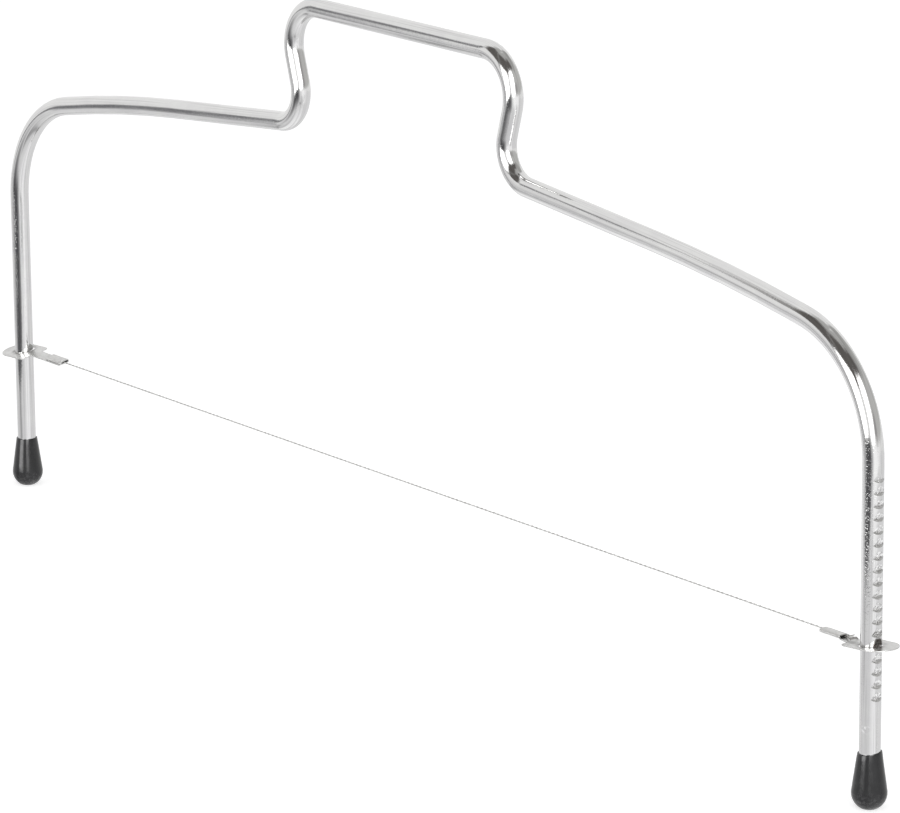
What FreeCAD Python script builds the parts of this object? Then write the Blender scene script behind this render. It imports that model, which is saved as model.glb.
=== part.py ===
"""Cake leveler: a bent rod frame on two plug feet, with a cutting wire between two sliding clips.

Millimetres, +Z up. The rod lies in the XZ plane, its legs run along Z, and the origin is on the
floor midway between the two feet.
"""
import FreeCAD
import Part
import Sketcher
import math
import os

# Driving dimensions: name, value, meaning
SIZES = [
    ("rod_diameter", 5.0, "round steel rod of the frame"),
    ("leg_spacing", 346.0, "between the axes of the two legs"),
    ("corner_height", 105.2, "where a leg's axis meets the line of its shoulder"),
    ("corner_radius", 29.5, "bend between leg and shoulder, at the rod's axis"),
    ("shoulder_break_spread", 245.0, "between the crowns of the two shoulders"),
    ("shoulder_break_height", 114.9, "where the two slopes of a shoulder meet"),
    ("shoulder_crown_run", 25.5, "gentle crown of a shoulder, from where its slopes meet to each end"),
    ("handle_base_spread", 78.0, "between the two risers where they meet the shoulders"),
    ("handle_base_height", 122.9, "where a riser meets its shoulder"),
    ("handle_base_radius", 8.9, "bend between shoulder and riser"),
    ("grip_spread", 95.8, "between the two risers where they meet the grip bar"),
    ("grip_height", 153.0, "axis of the grip bar above the floor"),
    ("grip_radius", 10.5, "bend between riser and grip bar"),
    ("notch_count", 18, "height notches on each leg"),
    ("notch_pitch", 3.0, "from one notch to the next"),
    ("notch_depth", 0.6, "into the outer side of the leg"),
    ("notch_mouth", 1.5, "height of a notch at the leg's surface"),
    ("notch_run_out", 0.5, "how far the notching tool stands off the leg"),
    ("lowest_notch_height", 25.9, "root of the lowest notch"),
    ("free_notch_count", 4, "free notches under the clips as they are set"),
    ("foot_height", 13.2, "foot plug, floor to rim"),
    ("foot_diameter", 8.3, "round bulge near the bottom of a foot"),
    ("foot_sole_diameter", 4.0, "flat sole of a foot"),
    ("foot_rim_diameter", 5.7, "rim of a foot, at the leg"),
    ("foot_floor", 3.2, "solid bottom of a foot, under the leg's end"),
    ("foot_socket_play", 0.05, "radial play of a leg in its foot"),
    ("sheet_thickness", 0.4, "sheet steel of the clips"),
    ("clip_width", 9.2, "clip plate, across the frame"),
    ("clip_set_off", 0.5, "middle of the clip plate, off the leg's axis and away from the fold"),
    ("clip_outer_reach", 6.8, "clip plate, from the leg's axis outwards"),
    ("clip_inner_reach", 6.1, "clip plate, from the leg's axis inwards"),
    ("clip_corner_radius", 1.2, "inner corners of the clip plate"),
    ("clip_slot_play", 0.25, "from leg to slot, at each side"),
    ("clip_slot_outer_play", 0.2, "from leg to slot, on the notched side"),
    ("clip_slot_inner_play", 1.2, "from leg to slot, on the inner side"),
    ("tab_width", 3.4, "folded tab that holds the wire"),
    ("tab_reach", 17.5, "folded tab, from the leg's axis inwards"),
    ("hem_length", 8.5, "folded stretch of the tab"),
    ("hem_set_back", 0.3, "from the tab's side to the free edge of the fold"),
    ("wire_diameter", 0.45, "twisted cutting wire, over both strands"),
    ("wire_play", 0.025, "radial play of the wire in the fold"),
    ("wire_tail", 1.4, "wire left over past the fold, towards the leg"),
]
VALUE = {name: value for name, value, meaning in SIZES}
SHEET = "sizes"

# Corners of half the rod's axis, from the grip bar down to the leg: name, the corner's distance
# from its twin on the other half, its height, the size of its bend, and what that size is: the
# bend's radius, or its run from the corner to each of its ends
CORNERS = [
    ("grip", "grip_spread", "grip_height", "grip_radius", "radius"),
    ("handle_base", "handle_base_spread", "handle_base_height", "handle_base_radius", "radius"),
    ("crown", "shoulder_break_spread", "shoulder_break_height", "shoulder_crown_run", "run"),
    ("corner", "leg_spacing", "corner_height", "corner_radius", "radius"),
]

# A sketch numbers the places on a line or arc from 1 up, and its own axes from -1 down
START, END, CENTRE = range(1, 4)
H_AXIS, V_AXIS = range(-1, -3, -1)
ORIGIN = (H_AXIS, START)


def cell(name):
    """The expression that reads one driving dimension."""
    return f"{SHEET}.{name}"


def make_sheet(doc):
    """Write the driving dimensions, one row each: name, value, meaning."""
    sheet = doc.addObject("Spreadsheet::Sheet", SHEET)
    for row, (name, value, meaning) in enumerate(SIZES, start=1):
        sheet.set(f"A{row}", name)
        sheet.set(f"B{row}", str(value))
        sheet.set(f"C{row}", meaning)
        sheet.setAlias(f"B{row}", name)
    doc.recompute()


def make_body(doc, label):
    """A new body whose label names its file."""
    body = doc.addObject("PartDesign::Body", label)
    body.Label = label
    return body


def make_sketch(body, name, plane, offset=None):
    """A sketch on one of the body's own origin planes, lifted off it by an expression."""
    sketch = body.newObject("Sketcher::SketchObject", name)
    support = [face for face in body.Origin.OriginFeatures if face.Role == plane][0]
    sketch.AttachmentSupport = [(support, "")]
    sketch.MapMode = "FlatFace"
    if offset is not None:
        sketch.setExpression("AttachmentOffset.Base.z", offset)
    return sketch


def hold(sketch, kind, *references):
    """Add a constraint that has no size."""
    sketch.addConstraint(Sketcher.Constraint(kind, *references))


def measure(sketch, name, expression, kind, *references):
    """Add a sized constraint, name it and bind it to the driving dimensions."""
    size = float(sketch.evalExpression(expression))
    index = sketch.addConstraint(Sketcher.Constraint(kind, *references, size))
    sketch.renameConstraint(index, name)
    sketch.setExpression(f"Constraints.{name}", expression)


def vector(x, y):
    """A point of a sketch."""
    return FreeCAD.Vector(x, y, 0)


def arc_between(centre, radius, first, last):
    """An anticlockwise arc in a sketch, from one angle to another, in degrees."""
    circle = Part.Circle(vector(*centre), FreeCAD.Vector(0, 0, 1), radius)
    return Part.ArcOfCircle(circle, math.radians(first), math.radians(last))


def bend(before, corner, after, size, measured_by):
    """Ends, centre, radius and turning sense of a round bend at a corner of a route."""
    to_before = (before - corner).normalize()
    to_after = (after - corner).normalize()
    half_opening = to_before.getAngle(to_after) / 2
    run = size if measured_by == "run" else size / math.tan(half_opening)
    radius = run * math.tan(half_opening)
    inward = (to_before + to_after).normalize()
    centre = corner + inward * (radius / math.sin(half_opening))
    left_turn = (corner - before).cross(after - corner).z > 0
    return corner + to_before * run, corner + to_after * run, centre, radius, left_turn


def rod_route():
    """Corners of the rod's axis from the right foot over the handle to the left foot."""
    right = [vector(VALUE[spread] / 2, VALUE[height]) for name, spread, height, *rest in CORNERS]
    left = [vector(-point.x, point.y) for point in right]
    foot = vector(VALUE["leg_spacing"] / 2, VALUE["foot_floor"])
    return [foot] + right[::-1] + left + [vector(-foot.x, foot.y)]


def draw_rod_axis(sketch, route):
    """Draw straight runs and round bends along the route, each running smoothly into the next."""
    here = route[0]
    ids = []
    leave = None
    for index, (name, spread, height, size, kind) in enumerate(CORNERS[::-1] + CORNERS, start=1):
        nearby = route[index - 1 : index + 2]
        start, finish, centre, radius, left_turn = bend(*nearby, VALUE[size], kind)
        first = math.degrees(math.atan2(start.y - centre.y, start.x - centre.x))
        last = math.degrees(math.atan2(finish.y - centre.y, finish.x - centre.x))
        run = sketch.addGeometry(Part.LineSegment(here, start), False)
        if ids:
            hold(sketch, "Tangent", ids[-1], leave, run, START)
        # An arc is drawn anticlockwise, so a right-hand bend is entered at its end.
        if left_turn:
            enter, leave = START, END
        else:
            enter, leave = END, START
            first, last = last, first
        arc = sketch.addGeometry(arc_between((centre.x, centre.y), radius, first, last), False)
        hold(sketch, "Tangent", run, END, arc, enter)
        ids += [run, arc]
        here = finish
    run = sketch.addGeometry(Part.LineSegment(here, route[-1]), False)
    hold(sketch, "Tangent", ids[-1], leave, run, START)
    return ids + [run]


def make_frame_rod(doc):
    """One bent rod, with a row of notches in the outer side of each leg."""
    body = make_body(doc, "frame_rod")
    path = make_sketch(body, "rod_axis", "XZ_Plane")
    route = rod_route()
    ids = draw_rod_axis(path, route)

    # Each corner is a point where the two straight runs beside its bend would meet.
    points = []
    for index in range(1, len(route) - 1):
        point = path.addGeometry(Part.Point(route[index]), True)
        hold(path, "PointOnObject", point, START, ids[2 * index - 2])
        hold(path, "PointOnObject", point, START, ids[2 * index])
        points.append(point)
    count = len(CORNERS)
    for index, (name, spread, height, size, kind) in enumerate(CORNERS):
        right = count - 1 - index
        left = count + index
        right_arc = ids[2 * right + 1]
        left_arc = ids[2 * left + 1]
        measure(path, f"{name}_x", f"{cell(spread)} / 2", "DistanceX", *ORIGIN, points[right], START)
        measure(path, f"{name}_z", cell(height), "DistanceY", *ORIGIN, points[right], START)
        if kind == "run":
            measure(path, f"{name}_run", cell(size), "Distance", points[right], START, right_arc, END)
        else:
            measure(path, f"{name}_radius", cell(size), "Radius", right_arc)
        hold(path, "Symmetric", points[right], START, points[left], START, V_AXIS)
        hold(path, "Equal", right_arc, left_arc)
    hold(path, "Vertical", ids[0])
    measure(path, "rod_end_z", cell("foot_floor"), "DistanceY", *ORIGIN, ids[0], START)
    hold(path, "Symmetric", ids[0], START, ids[-1], END, V_AXIS)

    section = make_sketch(body, "rod_section", "XY_Plane", cell("foot_floor"))
    leg_centre = vector(VALUE["leg_spacing"] / 2, 0)
    outline = Part.Circle(leg_centre, FreeCAD.Vector(0, 0, 1), VALUE["rod_diameter"] / 2)
    ring = section.addGeometry(outline, False)
    hold(section, "PointOnObject", ring, CENTRE, H_AXIS)
    measure(section, "leg_x", f"{cell('leg_spacing')} / 2", "DistanceX", *ORIGIN, ring, CENTRE)
    measure(section, "diameter", cell("rod_diameter"), "Diameter", ring)
    doc.recompute()

    rod = body.newObject("PartDesign::AdditivePipe", "bent_rod")
    rod.Profile = section
    rod.Spine = (path, [])
    doc.recompute()
    plain_volume = body.Shape.Volume

    notch = body.newObject("PartDesign::Pocket", "notch")
    notch.Profile = make_notch_profile(body)
    notch.Type = "ThroughAll"
    notch.SideType = "Symmetric"
    doc.recompute()
    row = body.newObject("PartDesign::LinearPattern", "notch_row")
    row.Originals = [notch]
    row.Direction = (notch.Profile[0], ["V_Axis"])
    row.setExpression("Length", f"{cell('notch_pitch')} * ({cell('notch_count')} - 1)")
    row.setExpression("Occurrences", cell("notch_count"))
    body.Tip = row
    doc.recompute()
    return body, path.Shape.Length, plain_volume


def make_notch_profile(body):
    """The lowest notch of each leg: a V that opens outwards."""
    sketch = make_sketch(body, "notch_profile", "XZ_Plane")
    root_x = VALUE["leg_spacing"] / 2 + VALUE["rod_diameter"] / 2 - VALUE["notch_depth"]
    level = VALUE["lowest_notch_height"]
    reach = VALUE["notch_depth"] + VALUE["notch_run_out"]
    rise = VALUE["notch_mouth"] / 2 * reach / VALUE["notch_depth"]
    roots = []
    for side in (1, -1):
        root = vector(side * root_x, level)
        top = vector(side * (root_x + reach), level + rise)
        low = vector(side * (root_x + reach), level - rise)
        upper = sketch.addGeometry(Part.LineSegment(root, top), False)
        mouth = sketch.addGeometry(Part.LineSegment(top, low), False)
        lower = sketch.addGeometry(Part.LineSegment(low, root), False)
        hold(sketch, "Coincident", upper, END, mouth, START)
        hold(sketch, "Coincident", mouth, END, lower, START)
        hold(sketch, "Coincident", lower, END, upper, START)
        hold(sketch, "Vertical", mouth)
        hold(sketch, "Equal", upper, lower)
        roots.append((upper, mouth))
    depth = cell("notch_depth")
    standing_off = cell("notch_run_out")
    outer_side = f"({cell('leg_spacing')} + {cell('rod_diameter')}) / 2"
    for name, (upper, mouth), flip in (("right", roots[0], False), ("left", roots[1], True)):
        root_place = (upper, START) + ORIGIN if flip else ORIGIN + (upper, START)
        mouth_place = (mouth, START) + ORIGIN if flip else ORIGIN + (mouth, START)
        measure(sketch, f"{name}_root", f"{outer_side} - {depth}", "DistanceX", *root_place)
        measure(sketch, f"{name}_mouth", f"{outer_side} + {standing_off}", "DistanceX", *mouth_place)
        measure(sketch, f"{name}_level", cell("lowest_notch_height"), "DistanceY", *ORIGIN, upper, START)
        measure(
            sketch,
            f"{name}_opening",
            f"{cell('notch_mouth')} * ({depth} + {standing_off}) / {depth}",
            "DistanceY",
            mouth,
            END,
            mouth,
            START,
        )
    return sketch


def make_foot(doc, label, side):
    """A moulded plug: a cone that runs down into a round bulge with a flat sole."""
    body = make_body(doc, label)
    sketch = make_sketch(body, f"{label}_profile", "XZ_Plane")
    bulge = VALUE["foot_diameter"] / 2
    sole = VALUE["foot_sole_diameter"] / 2
    rim = VALUE["foot_rim_diameter"] / 2
    socket = VALUE["rod_diameter"] / 2 + VALUE["foot_socket_play"]
    floor = VALUE["foot_floor"]
    top = VALUE["foot_height"]
    middle = math.sqrt(bulge**2 - sole**2)
    start = -math.degrees(math.atan2(middle, sole))
    touch = vector(bulge, middle)

    outline = [
        Part.LineSegment(vector(0, floor), vector(0, 0)),
        Part.LineSegment(vector(0, 0), vector(sole, 0)),
        arc_between((0, middle), bulge, start, 0),
        Part.LineSegment(touch, vector(rim, top)),
        Part.LineSegment(vector(rim, top), vector(socket, top)),
        Part.LineSegment(vector(socket, top), vector(socket, floor)),
        Part.LineSegment(vector(socket, floor), vector(0, floor)),
    ]
    axis, base, round_side, cone, lip, wall, seat = [sketch.addGeometry(edge, False) for edge in outline]
    hold(sketch, "Coincident", axis, END, base, START)
    hold(sketch, "Coincident", base, END, round_side, START)
    hold(sketch, "Tangent", round_side, END, cone, START)
    hold(sketch, "Coincident", cone, END, lip, START)
    hold(sketch, "Coincident", lip, END, wall, START)
    hold(sketch, "Coincident", wall, END, seat, START)
    hold(sketch, "Coincident", seat, END, axis, START)
    hold(sketch, "Coincident", axis, END, *ORIGIN)
    hold(sketch, "Vertical", axis)
    hold(sketch, "Horizontal", base)
    hold(sketch, "PointOnObject", round_side, CENTRE, V_AXIS)
    hold(sketch, "Horizontal", lip)
    hold(sketch, "Vertical", wall)
    hold(sketch, "Horizontal", seat)
    measure(sketch, "sole", f"{cell('foot_sole_diameter')} / 2", "DistanceX", *ORIGIN, base, END)
    measure(sketch, "bulge", f"{cell('foot_diameter')} / 2", "Radius", round_side)
    measure(sketch, "rim", f"{cell('foot_rim_diameter')} / 2", "DistanceX", *ORIGIN, cone, END)
    measure(sketch, "height", cell("foot_height"), "DistanceY", *ORIGIN, cone, END)
    measure(
        sketch,
        "socket",
        f"{cell('rod_diameter')} / 2 + {cell('foot_socket_play')}",
        "DistanceX",
        *ORIGIN,
        wall,
        END,
    )
    measure(sketch, "floor", cell("foot_floor"), "DistanceY", *ORIGIN, wall, END)
    doc.recompute()

    plug = body.newObject("PartDesign::Revolution", f"{label}_plug")
    plug.Profile = sketch
    plug.ReferenceAxis = (sketch, ["V_Axis"])
    plug.Angle = 360
    body.setExpression("Placement.Base.x", f"{side} * {cell('leg_spacing')} / 2")
    doc.recompute()
    return body


def add_clip_slot(sketch):
    """The long hole that the leg runs through, nearest to the leg on its notched side."""
    radius = VALUE["rod_diameter"] / 2 + VALUE["clip_slot_play"]
    outer = VALUE["rod_diameter"] / 2 + VALUE["clip_slot_outer_play"] - radius
    inner = radius - VALUE["rod_diameter"] / 2 - VALUE["clip_slot_inner_play"]
    outer_end = sketch.addGeometry(arc_between((outer, 0), radius, -90, 90), False)
    back = sketch.addGeometry(Part.LineSegment(vector(outer, radius), vector(inner, radius)), False)
    inner_end = sketch.addGeometry(arc_between((inner, 0), radius, 90, 270), False)
    front = sketch.addGeometry(Part.LineSegment(vector(inner, -radius), vector(outer, -radius)), False)
    hold(sketch, "Tangent", outer_end, END, back, START)
    hold(sketch, "Tangent", back, END, inner_end, START)
    hold(sketch, "Tangent", inner_end, END, front, START)
    hold(sketch, "Tangent", front, END, outer_end, START)
    hold(sketch, "PointOnObject", outer_end, CENTRE, H_AXIS)
    hold(sketch, "PointOnObject", inner_end, CENTRE, H_AXIS)
    side_play = cell("clip_slot_play")
    outer_play = cell("clip_slot_outer_play")
    inner_play = cell("clip_slot_inner_play")
    leg = f"{cell('rod_diameter')} / 2"
    measure(sketch, "slot_radius", f"{leg} + {side_play}", "Radius", outer_end)
    measure(sketch, "slot_outer", f"{side_play} - {outer_play}", "DistanceX", outer_end, CENTRE, *ORIGIN)
    measure(sketch, "slot_inner", f"{inner_play} - {side_play}", "DistanceX", inner_end, CENTRE, *ORIGIN)


def add_clip_outline(sketch):
    """Outline of the clip plate and its tab, from the end of the fold round the outer side."""
    half = VALUE["clip_width"] / 2
    middle = VALUE["clip_set_off"]
    front_y = middle - half
    back_y = middle + half
    round_x = VALUE["clip_outer_reach"] - half
    inner = -VALUE["clip_inner_reach"]
    corner = VALUE["clip_corner_radius"]
    tab = VALUE["tab_width"] / 2
    tip = -VALUE["tab_reach"]
    neck = tip + VALUE["hem_length"]
    fold = -tab + VALUE["sheet_thickness"] + VALUE["wire_diameter"] / 2 + VALUE["wire_play"]

    outline = [
        Part.LineSegment(vector(tip, fold), vector(neck, fold)),
        Part.LineSegment(vector(neck, fold), vector(neck, -tab)),
        Part.LineSegment(vector(neck, -tab), vector(inner, -tab)),
        Part.LineSegment(vector(inner, -tab), vector(inner, front_y + corner)),
        arc_between((inner + corner, front_y + corner), corner, 180, 270),
        Part.LineSegment(vector(inner + corner, front_y), vector(round_x, front_y)),
        arc_between((round_x, middle), half, -90, 90),
        Part.LineSegment(vector(round_x, back_y), vector(inner + corner, back_y)),
        arc_between((inner + corner, back_y - corner), corner, 90, 180),
        Part.LineSegment(vector(inner, back_y - corner), vector(inner, tab)),
        Part.LineSegment(vector(inner, tab), vector(tip, tab)),
        Part.LineSegment(vector(tip, tab), vector(tip, fold)),
    ]
    ids = [sketch.addGeometry(edge, False) for edge in outline]
    fold_line, relief, neck_side, front_end, front_corner, front, nose = ids[:7]
    back, back_corner, back_end, tab_side, tab_tip = ids[7:]
    smooth = {front_end, front_corner, front, nose, back, back_corner}
    for place, edge in enumerate(ids):
        following = ids[(place + 1) % len(ids)]
        kind = "Tangent" if edge in smooth else "Coincident"
        hold(sketch, kind, edge, END, following, START)
    for edge in (fold_line, neck_side, front, back, tab_side):
        hold(sketch, "Horizontal", edge)
    for edge in (relief, front_end, back_end, tab_tip):
        hold(sketch, "Vertical", edge)
    hold(sketch, "Equal", front_corner, back_corner)
    hold(sketch, "Symmetric", front_end, START, back_end, END, H_AXIS)

    width = f"{cell('clip_width')} / 2"
    tab_half = f"{cell('tab_width')} / 2"
    bend_radius = fold_radius()
    measure(sketch, "half_width", width, "Radius", nose)
    nose_centre = f"{cell('clip_outer_reach')} - {width}"
    measure(sketch, "outer_reach", nose_centre, "DistanceX", *ORIGIN, nose, CENTRE)
    measure(sketch, "set_off", cell("clip_set_off"), "DistanceY", *ORIGIN, nose, CENTRE)
    measure(sketch, "inner_reach", cell("clip_inner_reach"), "DistanceX", back_end, END, *ORIGIN)
    measure(sketch, "corner", cell("clip_corner_radius"), "Radius", front_corner)
    measure(sketch, "tab_half", tab_half, "DistanceY", *ORIGIN, tab_side, START)
    measure(sketch, "tab_reach", cell("tab_reach"), "DistanceX", tab_side, END, *ORIGIN)
    measure(sketch, "hem", cell("hem_length"), "DistanceX", fold_line, START, fold_line, END)
    measure(sketch, "fold", f"{tab_half} - ({bend_radius})", "DistanceY", fold_line, END, *ORIGIN)


def fold_radius():
    """The expression of the fold's outer radius: the sheet round half the wire and its play."""
    return f"{cell('sheet_thickness')} + {cell('wire_diameter')} / 2 + {cell('wire_play')}"


def make_hem_profile(body, label):
    """Section of the folded sheet: a half ring round the wire and a flap over the tab."""
    sketch = make_sketch(body, f"{label}_hem_profile", "YZ_Plane", f"-{cell('tab_reach')}")
    sheet = VALUE["sheet_thickness"]
    inside = VALUE["wire_diameter"] / 2 + VALUE["wire_play"]
    outside = sheet + inside
    bend_y = -VALUE["tab_width"] / 2 + outside
    edge_y = VALUE["tab_width"] / 2 - VALUE["hem_set_back"]

    outline = [
        arc_between((bend_y, outside), outside, 90, 270),
        Part.LineSegment(vector(bend_y, 0), vector(bend_y, sheet)),
        arc_between((bend_y, outside), inside, 90, 270),
        Part.LineSegment(vector(bend_y, sheet + 2 * inside), vector(edge_y, sheet + 2 * inside)),
        Part.LineSegment(vector(edge_y, sheet + 2 * inside), vector(edge_y, 2 * outside)),
        Part.LineSegment(vector(edge_y, 2 * outside), vector(bend_y, 2 * outside)),
    ]
    outer, joint, inner, under, edge, top = [sketch.addGeometry(shape, False) for shape in outline]
    hold(sketch, "Coincident", outer, END, joint, START)
    hold(sketch, "Coincident", joint, END, inner, END)
    hold(sketch, "Tangent", inner, START, under, START)
    hold(sketch, "Coincident", under, END, edge, START)
    hold(sketch, "Coincident", edge, END, top, START)
    hold(sketch, "Tangent", top, END, outer, START)
    hold(sketch, "Coincident", outer, CENTRE, inner, CENTRE)
    hold(sketch, "Vertical", joint)
    hold(sketch, "Horizontal", top)
    hold(sketch, "Vertical", edge)
    hold(sketch, "PointOnObject", joint, START, H_AXIS)
    tab_half = f"{cell('tab_width')} / 2"
    measure(sketch, "outside", fold_radius(), "Radius", outer)
    measure(sketch, "sheet", cell("sheet_thickness"), "DistanceY", joint, START, joint, END)
    measure(sketch, "bend", f"{tab_half} - ({fold_radius()})", "DistanceX", joint, START, *ORIGIN)
    measure(sketch, "flap", f"{tab_half} - {cell('hem_set_back')}", "DistanceX", *ORIGIN, edge, START)
    return sketch


def clip_level():
    """The expression of the height of the notch that the clips are set to."""
    steps = f"{cell('free_notch_count')} * {cell('notch_pitch')}"
    return f"{cell('lowest_notch_height')} + {steps}"


def make_clip(doc, label, side, turn):
    """A stamped clip: a plate round the leg, with a tab folded over the end of the wire."""
    body = make_body(doc, label)
    outline = make_sketch(body, f"{label}_outline", "XY_Plane")
    add_clip_outline(outline)
    add_clip_slot(outline)
    doc.recompute()
    plate = body.newObject("PartDesign::Pad", f"{label}_plate")
    plate.Profile = outline
    plate.setExpression("Length", cell("sheet_thickness"))
    doc.recompute()
    hem = body.newObject("PartDesign::Pad", f"{label}_hem")
    hem.Profile = make_hem_profile(body, label)
    hem.setExpression("Length", cell("hem_length"))
    body.Tip = hem
    body.Placement = FreeCAD.Placement(
        FreeCAD.Vector(0, 0, 0), FreeCAD.Rotation(FreeCAD.Vector(0, 0, 1), turn)
    )
    body.setExpression("Placement.Base.x", f"{side} * {cell('leg_spacing')} / 2")
    body.setExpression("Placement.Base.z", f"{clip_level()} - {cell('sheet_thickness')} / 2")
    doc.recompute()
    return body


def make_cutting_wire(doc):
    """The cutting wire, straight from fold to fold, with its ends left over past the folds."""
    wire = doc.addObject("Part::Cylinder", "cutting_wire")
    wire.Label = "cutting_wire"
    fold_inner = f"({cell('tab_reach')} - {cell('hem_length')})"
    half = f"({cell('leg_spacing')} / 2 - {fold_inner} + {cell('wire_tail')})"
    lift = f"{cell('sheet_thickness')} / 2 + {cell('wire_diameter')} / 2 + {cell('wire_play')}"
    wire.setExpression("Radius", f"{cell('wire_diameter')} / 2")
    wire.setExpression("Height", f"2 * {half}")
    wire.Placement = FreeCAD.Placement(
        FreeCAD.Vector(0, 0, 0), FreeCAD.Rotation(FreeCAD.Vector(0, 1, 0), 90)
    )
    wire.setExpression("Placement.Base.x", f"-{half}")
    wire.setExpression("Placement.Base.z", f"{clip_level()} + {lift}")
    doc.recompute()
    return wire


def check(doc, pieces):
    """Stop if any object failed or any piece is not one valid solid."""
    for item in doc.Objects:
        if "Invalid" in item.State or "Error" in item.State:
            raise RuntimeError(f"{item.Name} failed: {item.State}")
    for piece in pieces:
        shape = piece.Shape
        if shape.isNull() or not shape.isValid() or len(shape.Solids) != 1:
            raise RuntimeError(f"{piece.Label} is not one valid solid")


def main():
    """Build the document, compare the volumes that show a failed sweep or cut, and write."""
    doc = FreeCAD.newDocument("cake_leveler")
    make_sheet(doc)
    rod, axis_length, plain_volume = make_frame_rod(doc)
    pieces = [
        rod,
        make_foot(doc, "left_foot", -1),
        make_foot(doc, "right_foot", 1),
        make_clip(doc, "left_clip", -1, 180),
        make_clip(doc, "right_clip", 1, 0),
        make_cutting_wire(doc),
    ]
    doc.recompute()
    check(doc, pieces)

    section = math.pi * VALUE["rod_diameter"] ** 2 / 4
    print(f"rod: axis {axis_length:.2f} mm, swept {plain_volume:.2f}, section times length "
          f"{section * axis_length:.2f}, notches took {plain_volume - rod.Shape.Volume:.2f} mm3")
    os.makedirs("parts", exist_ok=True)
    for piece in pieces:
        piece.Shape.exportStep(f"parts/{piece.Label}.step")
        box = piece.Shape.BoundBox
        print(f"{piece.Label}: volume {piece.Shape.Volume:.2f}, "
              f"x {box.XMin:.2f} to {box.XMax:.2f}, y {box.YMin:.2f} to {box.YMax:.2f}, "
              f"z {box.ZMin:.2f} to {box.ZMax:.2f}")


main()
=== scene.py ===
import math

import bmesh
import bpy
from mathutils import Matrix, Vector


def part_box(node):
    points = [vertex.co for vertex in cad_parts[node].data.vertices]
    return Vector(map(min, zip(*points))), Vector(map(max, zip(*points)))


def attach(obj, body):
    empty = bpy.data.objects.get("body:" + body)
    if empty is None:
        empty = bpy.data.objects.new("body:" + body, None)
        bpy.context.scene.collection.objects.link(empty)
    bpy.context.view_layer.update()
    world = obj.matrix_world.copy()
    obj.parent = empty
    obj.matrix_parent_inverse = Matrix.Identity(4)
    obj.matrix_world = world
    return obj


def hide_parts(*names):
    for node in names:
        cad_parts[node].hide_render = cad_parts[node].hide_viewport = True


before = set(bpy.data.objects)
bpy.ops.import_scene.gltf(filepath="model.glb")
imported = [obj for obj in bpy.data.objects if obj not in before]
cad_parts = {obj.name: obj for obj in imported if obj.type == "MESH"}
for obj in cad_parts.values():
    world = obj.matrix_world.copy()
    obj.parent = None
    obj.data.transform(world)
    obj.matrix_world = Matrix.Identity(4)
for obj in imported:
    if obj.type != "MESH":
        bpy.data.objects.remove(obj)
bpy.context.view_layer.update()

MM = 0.001
HAIR = 0.01 * MM  # what lies this near to a place counts as being there
MERGE = 0.002 * MM  # points this near to each other become one
SQUARE_ON = 0.9  # a face's normal lies along an axis when its share of it is this large

# The rod: one round bar bent in the XZ plane, the same on both sides of the handle.
rod_low, rod_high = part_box("frame_rod")
ROD_RADIUS = (rod_high.y - rod_low.y) / 2
LEG_X = rod_high.x - ROD_RADIUS
LEG_END_Z = rod_low.z
CORNER = Vector((LEG_X, 0, 105.2 * MM))
CORNER_RADIUS = 29.5 * MM
CROWN = Vector((122.5 * MM, 0, 114.9 * MM))
CROWN_RUN = 25.5 * MM
HANDLE_BASE = Vector((39.0 * MM, 0, 122.9 * MM))
HANDLE_BASE_RADIUS = 8.9 * MM
GRIP = Vector((47.9 * MM, 0, rod_high.z - ROD_RADIUS))
GRIP_RADIUS = 10.5 * MM
ROD_SIDES = 96
BEND_STEP = math.radians(3.5)
LEAST_BEND_STEPS = 4

# The height notches: shallow V cuts across the outer side of each leg.
NOTCH_COUNT = 18
NOTCH_PITCH = 3.0 * MM
NOTCH_DEPTH = 0.6 * MM
NOTCH_LEDGE = 0.6 * MM
NOTCH_SLOPE = 1.6 * MM
NOTCH_ROOT_RISE = 0.29 * MM
NOTCH_RUN_OUT = 0.5 * MM
LOWEST_NOTCH_Z = 25.9 * MM
LEDGE_LOOKS_UP = 0.4  # a notch face is its ledge when its normal rises more than this
SLOPE_LOOKS_DOWN = -0.2  # and its slope when its normal falls more than this

# The plug feet.
foot_low, foot_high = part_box("right_foot")
FOOT_TOP = foot_high.z
FOOT_BULGE = (foot_high.y - foot_low.y) / 2
FOOT_SOLE = 2.0 * MM
FOOT_RIM = 2.85 * MM
FOOT_SOCKET = ROD_RADIUS + 0.05 * MM
FOOT_LIP_ROUND = 0.12 * MM
FOOT_RIM_LEAN = math.radians(5.5)
FOOT_LEAN_SIDE = Vector((0.61, 0.79, 0))
FOOT_SIDES = 72

# The wire: two thin strands twisted round each other.
wire_low, wire_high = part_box("cutting_wire")
WIRE_Z = (wire_high.z + wire_low.z) / 2
WIRE_END_X = wire_high.x
STRAND_RADIUS = (wire_high.z - wire_low.z) / 4
STRAND_GAP = 0.008 * MM
TWIST_PITCH = 3.3 * MM
TWIST_STEPS = 18
TWIST_END_X = WIRE_END_X - 0.5 * MM
STRAND_SIDES = 8
# How the lower and the upper strand's cut ends spring away past the right hem, in two steps each.
SPRUNG_ENDS = {
    -1: ((1.0 * MM, -0.3 * MM, 0.06 * MM), (1.4 * MM, -0.7 * MM, 0.04 * MM)),
    1: ((0.5 * MM, 0.35 * MM, 0.1 * MM), (0.7 * MM, 0.8 * MM, 0.25 * MM)),
}

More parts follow.
